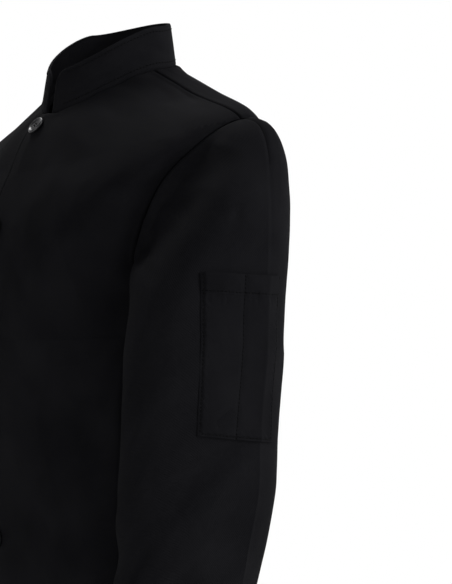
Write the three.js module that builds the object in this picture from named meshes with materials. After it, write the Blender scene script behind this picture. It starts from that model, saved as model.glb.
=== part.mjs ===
// A long-sleeved work jacket with a stand collar, hollow and in the shape it has when worn.
// Millimetres, +Z up. The jacket faces -Y, and the wearer's left is on the +X side.
// The origin is the middle of the neck, level with the side of the collar seam.
import * as THREE from 'three';

// Cloth and seams
const CLOTH = 1.5;              // thickness of a panel's wall
const COLLAR_CLOTH = 2.4;       // the collar is two layers and a stiffener
const SEAM_GAP = 0.36;          // clear distance between pieces that are sewn together
const ARMHOLE_GAP = 0.55;       // and where the sleeve turns away from the body
const FRONT_OVERLAP = 22;       // each front reaches this far past the centre line
const TUCK_DEPTH = 2.2;         // the right front lies this far under the left
const TUCK_FADE = 45;           // and comes out to its own surface over this width

// Body rings from the hem to the neck. Each is a rounded oval that passes through its side,
// front and back points. square is 2 for an ellipse and more for a boxier oval, and DIP is
// how a ring's height goes from its side to its front and back: 1 is straight, 2 is round.
const DIP = 1.4;
const BODY_RINGS = table(
  ['sideX', 'sideY', 'sideZ', 'frontY', 'frontZ', 'backY', 'backZ', 'square'],
  [
    [194, 6, -735, -122, -742, 128, -728, 2.5],   // hem
    [188, 6, -610, -120, -613, 128, -606, 2.5],   // hip
    [172, 6, -450, -114, -452, 106, -448, 2.5],   // waist
    [169, 6, -335, -121, -337, 116, -333, 2.6],   // below the chest
    [171, 8, -243, -125, -246, 126, -240, 2.7],   // underarm
    [177, 10, -165, -121, -172, 128, -168, 2.8],  // middle of the armhole
    [180, 22, -100, -112, -128, 118, -112, 2.5],  // upper armhole
    [202, 34, -46, -96, -90, 94, -64, 1.85],      // shoulder tip
    [132, 34, -18, -80, -58, 76, -20, 1.9],       // middle of the shoulder
    [68, 20, 6, -62, -35, 62, 14, 2.0],           // neck
  ],
);
const UNDERARM = 4;             // ring numbers
const SHOULDER_TIP = 7;
const NECK = 9;

// Armhole and shoulder seam. The armhole bows forward and back of the line that joins
// the side seam to the shoulder tip.
const ARMHOLE_FORWARD = 76;
const ARMHOLE_BACK = 75;
const ARMHOLE_WIDEST = 0.34;    // share of its height at which it is widest
const ARMHOLE_TAPER = 1.35;     // power of its upper curve: 2 is an oval, less is slimmer
const SHOULDER_TIP_Y = 26;
const SHOULDER_NECK_Y = 12;

// Left sleeve below the cap: oval sections from the upper arm to the wrist.
// x, y and z are the centre, long and short are half widths front to back and side to side,
// tilt is the rise of the outer side and lean the forward slope in degrees.
const ARM_SECTIONS = table(
  ['z', 'x', 'y', 'long', 'short', 'tilt', 'lean'],
  [
    [-262, 222, -25, 77, 51, 0.3, 0],             // upper arm
    [-310, 224, -30, 75, 50, 0.1, 0],
    [-375, 224, -33, 75, 49, 0, 5],               // above the elbow
    [-440, 224, -44, 70, 47.5, 0, 9],             // elbow
    [-530, 223, -58, 62, 43, 0, 11],              // forearm
    [-640, 220, -79, 51, 37, 0, 12],              // wrist
  ],
);
const CREASE_ANGLE = 30;        // degrees behind the outermost line, where the sleeve is pressed

// The cap leaves the armhole sideways and turns down into the upper arm. Reach is how
// strongly it holds each direction, at the shoulder tip and at the underarm.
const CAP_OUT = { tip: 185, underarm: 80 };
const CAP_DOWN = { tip: 295, underarm: 70 };
const CAP_SLOPE = { tip: 0.15, underarm: -0.9 };
const CAP_BACKWARD = 0.16;      // at the shoulder tip
const CAP_FULLNESS = 2.1;       // forwards and backwards, most near the underarm

// Largest folds, as straight runs over the cloth: a trough has a minus height.
// On the body, across is the ring angle in degrees, on a sleeve the share round from the crease
// in percent. z is the height, width the reach to each side of the run, all else in millimetres.
const FOLD_COLUMNS = ['fromAcross', 'fromZ', 'toAcross', 'toZ', 'width', 'height'];
const BODY_FOLDS = table(FOLD_COLUMNS, [
  [67, -92, 30, -140, 34, 4.5],                   // from the front of the armhole over the chest
  [70, -190, 44, -300, 30, -4],                   // drape below the armhole
  [98, -300, 62, -430, 26, -5],                   // side of the waist
  [78, -520, 58, -700, 30, 4],                    // flare at the hip
  [128, -215, 140, -420, 30, -5],                 // back, below the shoulder blade
  [150, -430, 146, -690, 32, 4],                  // back of the skirt
]);
const SLEEVE_FOLDS = table(FOLD_COLUMNS, [
  [7, -72, 27, -172, 18, -5],                     // hollow in front, beside the armhole
  [78, -110, 66, -220, 24, -4],                   // hollow behind
  [7, -340, 25, -372, 18, -4.5],                  // slanting below the pocket
  [18, -455, 44, -430, 20, -5],                   // bend of the elbow
  [30, -500, 55, -478, 18, -4],
  [70, -560, 92, -600, 22, 3],                    // forearm
]);
const BODY_FOLD_REACH = 150;    // radius that turns a body angle into a distance
const SLEEVE_FOLD_REACH = 400;  // and the length round a sleeve

// Collar
const COLLAR_GAP = 0.62;        // clear distance above the neck seam
const COLLAR_HEIGHT = 40;
const COLLAR_LEAN = 9;          // degrees inwards
const COLLAR_FRONT_GAP = 5;     // half the distance between its two ends
const COLLAR_CORNER = 14;       // radius of its front corners

// Pen pocket on the left sleeve. Its sides are shares of the way round the sleeve from the
// pressed crease forwards, and minus values lie behind the crease.
const POCKET_TOP = -189;
const POCKET_HEIGHT = 141;
const POCKET_BEHIND = -0.035;
const POCKET_AHEAD = 0.172;
const POCKET_CLOTH = 1.4;
const POCKET_CLEAR = 0.85;      // clear distance to the sleeve

// Buttons down the centre front
const BUTTON_COUNT = 7;
const BUTTON_RADIUS = 9;
const BUTTON_THICK = 3;
const BUTTON_CLEAR = 0.8;
const BUTTON_TOP_RING = 8.35;   // ring number of the highest button
const BUTTON_LOW_RING = 0.95;

// How finely each piece is divided
const BODY_ROWS = { belowArm: 12, armhole: 15, shoulder: 5 };
const FRONT_COLUMNS = 10;
const BACK_COLUMNS = 16;
const CAP_ROWS = 9;
const ARM_ROWS = 16;
const FINE = 60;                // points used to measure a curve's length

const BLACK_CLOTH = { color: 0x17171a, roughness: 0.86, metalness: 0 };
const BLACK_PLASTIC = { color: 0x131315, roughness: 0.38, metalness: 0 };

// Names the columns of a table, so that each row is an object.
function table(columns, rows) {
  return rows.map((row) => Object.fromEntries(columns.map((name, i) => [name, row[i]])));
}

// A smooth curve through the rows of a table, read at row number w, which may be a fraction.
function rowAt(rows, w) {
  const i = Math.min(Math.floor(w), rows.length - 2);
  const f = w - i;
  const before = rows[Math.max(i - 1, 0)];
  const after = rows[Math.min(i + 2, rows.length - 1)];
  const out = {};
  for (const key of Object.keys(rows[0])) {
    const [a, b, c, d] = [before[key], rows[i][key], rows[i + 1][key], after[key]];
    out[key] = 0.5 * (2 * b + (c - a) * f + (2 * a - 5 * b + 4 * c - d) * f ** 2
      + (3 * b - a - 3 * c + d) * f ** 3);
  }
  return out;
}

// A point of the body's surface. angle is 0 at the centre front and PI at the centre back.
function bodyPoint(angle, w) {
  const r = rowAt(BODY_RINGS, THREE.MathUtils.clamp(w, 0, NECK));
  const c = Math.cos(angle);
  const s = Math.sin(angle);
  const endY = c > 0 ? r.frontY : r.backY;
  const endZ = c > 0 ? r.frontZ : r.backZ;
  return new THREE.Vector3(
    r.sideX * Math.sign(s) * Math.abs(s) ** (2 / r.square),
    r.sideY + (endY - r.sideY) * Math.abs(c) ** (2 / r.square),
    r.sideZ + (endZ - r.sideZ) * Math.abs(c) ** DIP,
  );
}

// The direction straight out of the body's surface.
function bodyNormal(angle, w) {
  const step = 0.02;
  const across = bodyPoint(angle + step, w).sub(bodyPoint(angle - step, w));
  const along = bodyPoint(angle, w + step).sub(bodyPoint(angle, w - step));
  return across.cross(along).normalize();
}

// Height of the folds at a place: each is a bell across its run, which fades past its ends.
function foldHeight(folds, across, z, reach) {
  let sum = 0;
  for (const f of folds) {
    const run = new THREE.Vector2((f.toAcross - f.fromAcross) * reach, f.toZ - f.fromZ);
    const at = new THREE.Vector2((across - f.fromAcross) * reach, z - f.fromZ);
    const share = THREE.MathUtils.clamp(at.dot(run) / run.lengthSq(), 0, 1);
    const distance = at.addScaledVector(run, -share).length();
    sum += f.height * Math.exp(-((distance / f.width) ** 2));
  }
  return sum;
}

// The ring angle on the wearer's left at which a ring has the depth y.
function angleAtDepth(y, w) {
  const r = rowAt(BODY_RINGS, w);
  const endY = y < r.sideY ? r.frontY : r.backY;
  const share = Math.min(Math.abs((y - r.sideY) / (endY - r.sideY)), 1);
  const angle = Math.acos(share ** (r.square / 2));
  return y < r.sideY ? angle : Math.PI - angle;
}

// The ring angle at which a ring's front is x to the wearer's left of the centre.
function angleAtWidth(x, w) {
  const r = rowAt(BODY_RINGS, w);
  return Math.sign(x) * Math.asin(Math.abs(x / r.sideX) ** (r.square / 2));
}

// Depth of a panel's outer edge: the side seam, then the armhole, then the shoulder seam.
// bow is minus for the front panels and plus for the back.
function edgeDepth(w, bow) {
  if (w >= SHOULDER_TIP) {
    const k = (w - SHOULDER_TIP) / (NECK - SHOULDER_TIP);
    return SHOULDER_TIP_Y + (SHOULDER_NECK_Y - SHOULDER_TIP_Y) * k;
  }
  if (w <= UNDERARM) return rowAt(BODY_RINGS, w).sideY;
  const t = (w - UNDERARM) / (SHOULDER_TIP - UNDERARM);
  const low = Math.sqrt(1 - (1 - Math.min(t / ARMHOLE_WIDEST, 1)) ** 2);
  const rise = Math.max((t - ARMHOLE_WIDEST) / (1 - ARMHOLE_WIDEST), 0);
  const high = Math.sqrt(1 - rise ** ARMHOLE_TAPER);
  const start = BODY_RINGS[UNDERARM].sideY;
  return start + (SHOULDER_TIP_Y - start) * t + bow * Math.min(low, high);
}

// Ring numbers of a panel's rows. They lie closer where the armhole turns.
function bodyLevels() {
  const levels = [];
  for (let i = 0; i < BODY_ROWS.belowArm; i += 1) {
    levels.push((UNDERARM * i) / BODY_ROWS.belowArm);
  }
  for (let i = 0; i < BODY_ROWS.armhole; i += 1) {
    const share = (1 - Math.cos((Math.PI * i) / BODY_ROWS.armhole)) / 2;
    levels.push(UNDERARM + (SHOULDER_TIP - UNDERARM) * share);
  }
  for (let i = 0; i <= BODY_ROWS.shoulder; i += 1) {
    levels.push(SHOULDER_TIP + ((NECK - SHOULDER_TIP) * i) / BODY_ROWS.shoulder);
  }
  return levels;
}

// Distance along a run of points to each of them.
function lengthsAlong(points) {
  const lengths = [0];
  for (let i = 1; i < points.length; i += 1) {
    lengths.push(lengths[i - 1] + points[i].distanceTo(points[i - 1]));
  }
  return lengths;
}

// The point at a distance along a run of points.
function pointAlong(points, lengths, distance) {
  let i = 1;
  while (i < points.length - 1 && lengths[i] < distance) i += 1;
  const f = (distance - lengths[i - 1]) / (lengths[i] - lengths[i - 1]);
  return points[i - 1].clone().lerp(points[i], f);
}

// Angles evenly spaced by length along one ring, held back from each end.
function evenAngles(w, from, to, columns, holdStart, holdEnd) {
  const angles = [];
  for (let i = 0; i <= FINE; i += 1) angles.push(from + ((to - from) * i) / FINE);
  const lengths = lengthsAlong(angles.map((angle) => bodyPoint(angle, w)));
  const whole = lengths[FINE] - holdStart - holdEnd;
  const even = [];
  for (let j = 0; j <= columns; j += 1) {
    const distance = holdStart + (whole * j) / columns;
    let i = 1;
    while (i < FINE && lengths[i] < distance) i += 1;
    const f = (distance - lengths[i - 1]) / (lengths[i] - lengths[i - 1]);
    even.push(angles[i - 1] + (angles[i] - angles[i - 1]) * f);
  }
  return even;
}

// One row of a body panel: each place has a point on the folded cloth and its direction out.
function bodyRow(w, angles) {
  return angles.map((angle) => {
    const point = bodyPoint(angle, w);
    const normal = bodyNormal(angle, w);
    const degrees = THREE.MathUtils.radToDeg(angle);
    const across = degrees > 180 ? 360 - degrees : Math.abs(degrees);
    const reach = THREE.MathUtils.degToRad(BODY_FOLD_REACH);
    point.addScaledVector(normal, foldHeight(BODY_FOLDS, across, point.z, reach));
    return { point, normal };
  });
}

// Unit normals of a grid of points, from the directions along its columns and rows.
function gridNormals(grid, closed) {
  const last = grid.length - 1;
  return grid.map((row, i) => row.map((point, j) => {
    const n = row.length;
    const left = closed ? row[(j + n - 1) % n] : row[Math.max(j - 1, 0)];
    const right = closed ? row[(j + 1) % n] : row[Math.min(j + 1, n - 1)];
    const across = right.clone().sub(left);
    const along = grid[Math.min(i + 1, last)][j].clone().sub(grid[Math.max(i - 1, 0)][j]);
    return across.cross(along).normalize();
  }));
}

// A grid moved along its normals.
function movedOut(grid, closed, distance) {
  const normals = gridNormals(grid, closed);
  return grid.map((row, i) => row.map((p, j) => p.clone().addScaledVector(normals[i][j], distance)));
}

// A closed wall between an outer and an inner grid. Columns wrap round when closed.
function wallBetween(outer, inner, closed) {
  const rows = outer.length;
  const columns = outer[0].length;
  const points = [...outer.flat(), ...inner.flat()];
  const at = (side, i, j) => side * rows * columns + i * columns + (j % columns);
  const faces = [];
  const quad = (a, b, c, d) => faces.push(a, b, c, a, c, d);
  const spans = closed ? columns : columns - 1;
  for (let i = 0; i < rows - 1; i += 1) {
    for (let j = 0; j < spans; j += 1) {
      quad(at(0, i, j), at(0, i, j + 1), at(0, i + 1, j + 1), at(0, i + 1, j));
      quad(at(1, i, j), at(1, i + 1, j), at(1, i + 1, j + 1), at(1, i, j + 1));
    }
  }
  for (let j = 0; j < spans; j += 1) {
    quad(at(1, 0, j), at(1, 0, j + 1), at(0, 0, j + 1), at(0, 0, j));
    quad(at(0, rows - 1, j), at(0, rows - 1, j + 1), at(1, rows - 1, j + 1), at(1, rows - 1, j));
  }
  for (let i = 0; i < rows - 1 && !closed; i += 1) {
    quad(at(0, i, 0), at(0, i + 1, 0), at(1, i + 1, 0), at(1, i, 0));
    const e = columns - 1;
    quad(at(1, i, e), at(1, i + 1, e), at(0, i + 1, e), at(0, i, e));
  }
  const geometry = new THREE.BufferGeometry().setFromPoints(points);
  geometry.setIndex(faces);
  return geometry;
}

// Cloth of one thickness whose outer side is the grid.
function clothWall(grid, closed, thickness) {
  return wallBetween(grid, movedOut(grid, closed, -thickness), closed);
}

// A body panel: its places lie depth below the surface, which may change with the place.
function panelWall(cells, depth) {
  const layer = (extra) => cells.map((row) => row.map(({ point, normal }) => (
    point.clone().addScaledVector(normal, -depth(point) - extra))));
  return wallBetween(layer(0), layer(CLOTH), false);
}

// The same piece on the wearer's other side.
function mirrored(geometry) {
  const copy = geometry.clone();
  copy.applyMatrix4(new THREE.Matrix4().makeScale(-1, 1, 1));
  const index = copy.getIndex().array;
  for (let i = 0; i < index.length; i += 3) {
    [index[i], index[i + 1]] = [index[i + 1], index[i]];
  }
  return copy;
}

// The left front: rows from the hem to the neck, columns from the centre to the side.
function frontCells() {
  return bodyLevels().map((w) => {
    const start = angleAtWidth(-FRONT_OVERLAP, w);
    const side = angleAtDepth(edgeDepth(w, -ARMHOLE_FORWARD), w);
    return bodyRow(w, evenAngles(w, start, side, FRONT_COLUMNS, 0, SEAM_GAP / 2));
  });
}

// The right front is drawn on the left and mirrored. Its centre edge is tucked under.
function tuckDepth(point) {
  return TUCK_DEPTH * (1 - THREE.MathUtils.smoothstep(point.x, FRONT_OVERLAP, FRONT_OVERLAP + TUCK_FADE));
}

// The back: columns from the left side round the back to the right side.
function backCells() {
  return bodyLevels().map((w) => {
    const side = angleAtDepth(edgeDepth(w, ARMHOLE_BACK), w);
    const hold = SEAM_GAP / 2;
    return bodyRow(w, evenAngles(w, side, 2 * Math.PI - side, BACK_COLUMNS, hold, hold));
  });
}

// The armhole's edge, from the shoulder tip down the front, under the arm and up the back.
function armholeEdge() {
  const levels = bodyLevels().filter((w) => w >= UNDERARM && w <= SHOULDER_TIP);
  const edge = (bow) => levels.map((w) => (
    bodyRow(w, [angleAtDepth(edgeDepth(w, bow), w)])[0].point));
  const front = edge(-ARMHOLE_FORWARD).reverse();
  const back = edge(ARMHOLE_BACK).slice(1, -1);
  return [...front, ...back];
}

// A point of an arm section, angle measured from the outermost line towards the back.
function sectionPoint(section, angle) {
  const lean = THREE.MathUtils.degToRad(section.lean);
  const dx = section.short * Math.cos(angle);
  const dy = section.long * Math.sin(angle);
  return new THREE.Vector3(
    section.x + dx,
    section.y + dy * Math.cos(lean),
    section.z + dx * section.tilt - dy * Math.sin(lean),
  );
}

// The point of the arm section at row k that is a share of the way round from the crease.
function armPoint(share, k) {
  const section = rowAt(ARM_SECTIONS, k);
  const start = THREE.MathUtils.degToRad(CREASE_ANGLE);
  const ring = [];
  for (let i = 0; i <= FINE; i += 1) {
    ring.push(sectionPoint(section, start - (2 * Math.PI * i) / FINE));
  }
  const lengths = lengthsAlong(ring);
  return pointAlong(ring, lengths, (share - Math.floor(share)) * lengths[FINE]);
}

// A point of the cap: a curve from the armhole to the upper arm with a set direction at each end.
function capPoint(seam, share, t) {
  const top = (1 + Math.cos(2 * Math.PI * share)) / 2;
  const mix = (pair, part = top) => pair.underarm + (pair.tip - pair.underarm) * part;
  const aside = CAP_BACKWARD * top - CAP_FULLNESS * (1 - top) * Math.sin(2 * Math.PI * share);
  const leave = new THREE.Vector3(1, aside, mix(CAP_SLOPE)).setLength(mix(CAP_OUT));
  const arrive = new THREE.Vector3(0, 0, -mix(CAP_DOWN, Math.sqrt(top)));
  const start = seam.clone().addScaledVector(leave.clone().normalize(), ARMHOLE_GAP);
  return new THREE.Vector3()
    .addScaledVector(start, 2 * t ** 3 - 3 * t ** 2 + 1)
    .addScaledVector(leave, t ** 3 - 2 * t ** 2 + t)
    .addScaledVector(armPoint(share, 0), 3 * t ** 2 - 2 * t ** 3)
    .addScaledVector(arrive, t ** 3 - t ** 2);
}

// The grid with the sleeve's folds pressed in. They fade out at the armhole seam.
function foldedSleeve(grid, shares) {
  const normals = gridNormals(grid, true);
  return grid.map((row, i) => row.map((p, j) => {
    const height = foldHeight(SLEEVE_FOLDS, shares[j] * 100, p.z, SLEEVE_FOLD_REACH / 100);
    return p.clone().addScaledVector(normals[i][j], height * Math.min(i / 3, 1));
  }));
}

// Grid of the left sleeve: rows from the armhole to the wrist, columns from the crease forwards.
function sleeveGrid() {
  const seam = armholeEdge();
  const lengths = lengthsAlong([...seam, seam[0]]);
  const shares = seam.map((point, j) => lengths[j] / lengths[seam.length]);
  const grid = [];
  for (let i = 0; i < CAP_ROWS; i += 1) {
    grid.push(seam.map((point, j) => capPoint(point, shares[j], i / CAP_ROWS)));
  }
  for (let i = 0; i <= ARM_ROWS; i += 1) {
    const k = ((ARM_SECTIONS.length - 1) * i) / ARM_ROWS;
    grid.push(shares.map((share) => armPoint(share, k)));
  }
  return foldedSleeve(grid, shares);
}

// A point of the sleeve's outer surface at a share round from the crease and a height.
function sleeveAtHeight(share, height) {
  const seam = armholeEdge();
  const loop = [...seam, seam[0]];
  const lengths = lengthsAlong(loop);
  const round = share - Math.floor(share);
  const start = pointAlong(loop, lengths, round * lengths[seam.length]);
  const at = (v) => (v < 1 ? capPoint(start, round, v) : armPoint(round, v - 1));
  let [high, low] = [0, ARM_SECTIONS.length];
  for (let step = 0; step < 24; step += 1) {
    const middle = (high + low) / 2;
    if (at(middle).z > height) high = middle;
    else low = middle;
  }
  return at(high);
}

// The pocket is cut from the sleeve's own surface, moved out.
function pocketWall() {
  const [rows, columns] = [8, 8];
  const grid = [];
  for (let i = 0; i <= rows; i += 1) {
    const height = POCKET_TOP - (POCKET_HEIGHT * i) / rows;
    const row = [];
    for (let j = 0; j <= columns; j += 1) {
      const share = POCKET_BEHIND + ((POCKET_AHEAD - POCKET_BEHIND) * j) / columns;
      row.push(sleeveAtHeight(share, height));
    }
    grid.push(row);
  }
  const inner = movedOut(grid, false, POCKET_CLEAR);
  return wallBetween(movedOut(grid, false, POCKET_CLEAR + POCKET_CLOTH), inner, false);
}

// The collar stands on the neck seam and leans inwards. Its front corners are quarter rounds,
// so its places along the seam lie closer there.
function collarWall() {
  const [rows, columns, cornerSteps] = [4, 34, 4];
  const start = angleAtWidth(COLLAR_FRONT_GAP, NECK);
  const fine = evenAngles(NECK, start, 2 * Math.PI - start, FINE, 0, 0)
    .map((angle) => bodyPoint(angle, NECK));
  const lengths = lengthsAlong(fine);
  const whole = lengths[FINE];
  const places = [];
  for (let i = 0; i < cornerSteps; i += 1) {
    places.push(COLLAR_CORNER * (1 - Math.cos((Math.PI / 2) * (i / cornerSteps))));
  }
  for (let i = 0; i <= columns / 2; i += 1) {
    places.push(COLLAR_CORNER + ((whole / 2 - COLLAR_CORNER) * i) / (columns / 2));
  }
  places.push(...places.slice(0, -1).reverse().map((place) => whole - place));
  const lean = THREE.MathUtils.degToRad(COLLAR_LEAN);
  const middle = BODY_RINGS[NECK].sideY;
  const grid = [];
  for (let i = 0; i <= rows; i += 1) {
    grid.push(places.map((place) => {
      const p = pointAlong(fine, lengths, place);
      const toEnd = Math.min(place, whole - place, COLLAR_CORNER);
      const drop = COLLAR_CORNER - Math.sqrt(COLLAR_CORNER ** 2 - (COLLAR_CORNER - toEnd) ** 2);
      const rise = COLLAR_GAP + ((COLLAR_HEIGHT - drop) * i) / rows;
      const inward = new THREE.Vector3(-p.x, middle - p.y, 0).normalize();
      return p.addScaledVector(inward, rise * Math.sin(lean))
        .add(new THREE.Vector3(0, 0, rise * Math.cos(lean)));
    }));
  }
  return clothWall(grid, false, COLLAR_CLOTH);
}

// A round button with a raised rim, lying on the left front at ring number w.
function buttonSolid(w) {
  const profile = [
    [0, 0], [0.72, 0], [1, 0.35], [1, 0.75], [0.86, 1], [0.68, 0.82], [0, 0.72],
  ].map(([r, h]) => new THREE.Vector2(r * BUTTON_RADIUS, h * BUTTON_THICK));
  const geometry = new THREE.LatheGeometry(profile, 16);
  const centre = bodyPoint(0, w);
  const up = bodyPoint(0, w + 0.05).sub(bodyPoint(0, w - 0.05)).normalize();
  const out = new THREE.Vector3(1, 0, 0).cross(up);
  geometry.applyQuaternion(new THREE.Quaternion().setFromUnitVectors(new THREE.Vector3(0, 1, 0), out));
  const seat = centre.addScaledVector(out, BUTTON_CLEAR);
  geometry.translate(seat.x, seat.y, seat.z);
  return geometry;
}

// Ring number on the centre front line at a height.
function ringAtFrontHeight(height) {
  let [low, high] = [0, NECK];
  for (let step = 0; step < 24; step += 1) {
    const middle = (low + high) / 2;
    if (bodyPoint(0, middle).z < height) low = middle;
    else high = middle;
  }
  return low;
}

const jacket = new THREE.Group();

function addPiece(name, geometry, finish) {
  const mesh = new THREE.Mesh(geometry, new THREE.MeshStandardMaterial(finish));
  mesh.name = name;
  jacket.add(mesh);
}

const leftFront = frontCells();
const leftSleeve = clothWall(sleeveGrid(), true, CLOTH);

addPiece('front_left', panelWall(leftFront, () => 0), BLACK_CLOTH);
addPiece('front_right', mirrored(panelWall(leftFront, tuckDepth)), BLACK_CLOTH);
addPiece('back', panelWall(backCells(), () => 0), BLACK_CLOTH);
addPiece('sleeve_left', leftSleeve, BLACK_CLOTH);
addPiece('sleeve_right', mirrored(leftSleeve), BLACK_CLOTH);
addPiece('collar', collarWall(), BLACK_CLOTH);
addPiece('sleeve_pocket', pocketWall(), BLACK_CLOTH);

const highest = bodyPoint(0, BUTTON_TOP_RING).z;
const lowest = bodyPoint(0, BUTTON_LOW_RING).z;
for (let i = 0; i < BUTTON_COUNT; i += 1) {
  const height = highest + ((lowest - highest) * i) / (BUTTON_COUNT - 1);
  addPiece(`button_${i + 1}`, buttonSolid(ringAtFrontHeight(height)), BLACK_PLASTIC);
}

export default jacket;
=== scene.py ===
import math
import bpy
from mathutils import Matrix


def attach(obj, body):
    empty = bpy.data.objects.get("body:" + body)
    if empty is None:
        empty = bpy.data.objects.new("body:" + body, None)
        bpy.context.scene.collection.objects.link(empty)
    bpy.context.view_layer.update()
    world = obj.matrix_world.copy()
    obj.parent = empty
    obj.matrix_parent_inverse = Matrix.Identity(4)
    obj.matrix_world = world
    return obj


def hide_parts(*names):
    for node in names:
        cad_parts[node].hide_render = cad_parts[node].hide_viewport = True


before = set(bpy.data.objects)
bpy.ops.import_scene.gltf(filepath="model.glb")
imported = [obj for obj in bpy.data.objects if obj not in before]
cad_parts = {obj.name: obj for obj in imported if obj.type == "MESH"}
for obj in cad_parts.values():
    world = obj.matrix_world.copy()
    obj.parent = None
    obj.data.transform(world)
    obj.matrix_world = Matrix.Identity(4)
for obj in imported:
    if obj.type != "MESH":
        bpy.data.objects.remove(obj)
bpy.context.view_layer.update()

from types import SimpleNamespace

import bpy
import numpy as np
from mathutils import Vector

MM = 0.001                      # the shapes below are worked out in millimetres

# Cloth and sewing, in millimetres
TWILL_STEP = 1.15               # real twill lines are 0.6 mm apart, drawn coarser so that they show
YARN = 0.9                      # uneven thickness of the yarns
CLOTH = 1.2                     # thickness that shows at an edge
COLLAR_CLOTH = 2.2
FRONT_OVERLAP = 22
TUCK_DEPTH = 2.2
TUCK_FADE = 45
HEM = 22                        # depth of the turned hem and cuffs
STITCH = 2.5                    # length of one stitch
STITCH_STEP = 3.4               # from one stitch to the next
THREAD = 0.4                    # radius of the thread
SEAM_DEPTHS = (0.9, 0.45, 1.7)  # of the side seams, the armhole seams and the shoulder seams
SEAM_STEPS = [0, 0.5, 1, 1.6, 2.2, 3, 4, 5, 5.6, 6.2, 6.8, 7.4, 8.4, 10]     # places beside a seam
FRONT_STITCH = 6                # from the front edge to its stitches
COLLAR_STITCH = 5
PANEL_ROWS = (110, 90, 34)      # below the underarm, along the armhole and along the shoulder
SLEEVE_PERCENT = 4              # millimetres for each percent of the way round the sleeve
SLEEVE_GIRTH = 100 * SLEEVE_PERCENT
FLIP = np.array([-1, 1, 1])     # turns the left side into the right side

UNDERARM, SHOULDER_TIP, NECK = 4, 7, 9      # ring numbers of the body
ARMHOLE_FORWARD = 76
ARMHOLE_BACK = 75
ARMHOLE_WIDEST = 0.34
ARMHOLE_TAPER = 1.35
SHOULDER_TIP_Y = 26
SHOULDER_NECK_Y = 12
DIP = 1.4
CREASE_ANGLE = 30
PRESS_AHEAD = 4                 # the pressed line lies this far in front of the first share
CAP_OUT = (80, 185)             # at the underarm and at the shoulder tip
CAP_DOWN = (70, 295)
CAP_SLOPE = (-0.9, 0.15)
CAP_BACKWARD = 0.16
CAP_FULLNESS = 2.1
ARMHOLE_GAP = 0.05

COLLAR_HEIGHT = 40
COLLAR_LEAN = 9
COLLAR_FRONT_GAP = 5
COLLAR_CORNER = 14

POCKET_TOP = -189
POCKET_HEIGHT = 141
POCKET_BEHIND = -0.035          # shares of the way round from the crease
POCKET_AHEAD = 0.172
POCKET_HEM = 18
POCKET_CLOTH = 1.3
POCKET_STITCH = 2.4             # from its edge to the stitches
POCKET_TILT = 3.2               # its front edge lies this much higher than its back edge
POCKET_DROP = 4.8               # and its lower back corner hangs this much lower
POCKET_STRAIGHTEN = 3.6         # the top front corner lies this much further back on the sleeve
POCKET_DIVISION = 43            # from the pocket's back edge to its dividing stitches
POCKET_HEM_STITCH = POCKET_HEM - 1.6

BUTTON_RADIUS = 9
BUTTON_THICK = 3.2
BUTTON_PLACES = 72              # points round a button
BUTTON_FACE = 0.7               # height of its flat middle, as a share of the thickness
BUTTON_HOLE_OUT = 1.75          # from its middle to each hole
BUTTON_COUNT = 7
BUTTON_TOP_RING = 8.35
BUTTON_LOW_RING = 0.95

# Camera: directions in degrees, distance in metres, and lengths in pixels of the picture
CAMERA_TURN, CAMERA_RISE, CAMERA_DISTANCE = 60, -4, 3
CAMERA_AIM = (0.065, 0.015, 0)  # in metres
PICTURE_HEIGHT, FOCAL_LENGTH = 584, 3226
AIM_LEFT, AIM_UP = 72, 218      # how far the aim lies from the middle of the picture
LAMP_AIM = (0.15, 0, -0.2)


def table(names, rows):
    """The columns of a table by name, each an array down its rows."""
    return dict(zip(names.split(), np.array(rows, float).T))


BODY_RINGS = table("sideX sideY sideZ frontY frontZ backY backZ square", [
    [194, 6, -735, -122, -742, 128, -728, 2.5],
    [188, 6, -610, -120, -613, 128, -606, 2.5],
    [172, 6, -450, -114, -452, 106, -448, 2.5],
    [169, 6, -335, -121, -337, 116, -333, 2.6],
    [171, 8, -243, -125, -246, 126, -240, 2.7],
    [177, 10, -165, -121, -172, 128, -168, 2.8],
    [180, 22, -100, -112, -128, 118, -112, 2.5],
    [202, 34, -46, -96, -90, 94, -64, 1.85],
    [132, 34, -18, -80, -58, 76, -20, 1.9],
    [68, 20, 6, -62, -35, 62, 14, 2.0],
])
ARM_SECTIONS = table("z x y long short tilt lean", [
    [-262, 222, -25, 77, 51, 0.3, 0],
    [-310, 224, -30, 75, 50, 0.1, 0],
    [-375, 224, -33, 75, 49, 0, 5],
    [-440, 224, -44, 70, 47.5, 0, 9],
    [-530, 223, -58, 62, 43, 0, 11],
    [-640, 220, -79, 51, 37, 0, 12],
])
# Folds run from one place to another over the cloth. On the body across is the ring angle in
# degrees, on a sleeve the share round from the crease in percent. bow bends the run sideways,
# width is its reach to each side, height is minus for a trough, and soft is 1 where it fades
# out towards both ends. The first rows of each are the largest folds.
BODY_REACH = math.radians(150)  # millimetres for each degree of a ring
UNEVEN = 1.1
FOLD_COLUMNS = "fromAcross fromZ toAcross toZ bow width height soft"
BODY_FOLDS = table(FOLD_COLUMNS, [
    [67, -92, 30, -140, 0, 34, 4.5, 0],
    [70, -190, 44, -300, 0, 30, -4, 0],
    [98, -300, 62, -430, 0, 26, -5, 0],
    [78, -520, 58, -700, 0, 30, 4, 0],
    [128, -215, 140, -420, 0, 30, -5, 0],
    [150, -430, 146, -690, 0, 32, 4, 0],
])
SLEEVE_FOLDS = table(FOLD_COLUMNS, [
    [7, -72, 27, -172, 0, 18, -5, 0],
    [78, -110, 66, -220, 0, 24, -4, 0],
    [7, -340, 25, -372, 0, 18, -4.5, 0],
    [18, -455, 44, -430, 0, 20, -5, 0],
    [30, -500, 55, -478, 0, 18, -4, 0],
    [70, -560, 92, -600, 0, 22, 3, 0],
])
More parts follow.
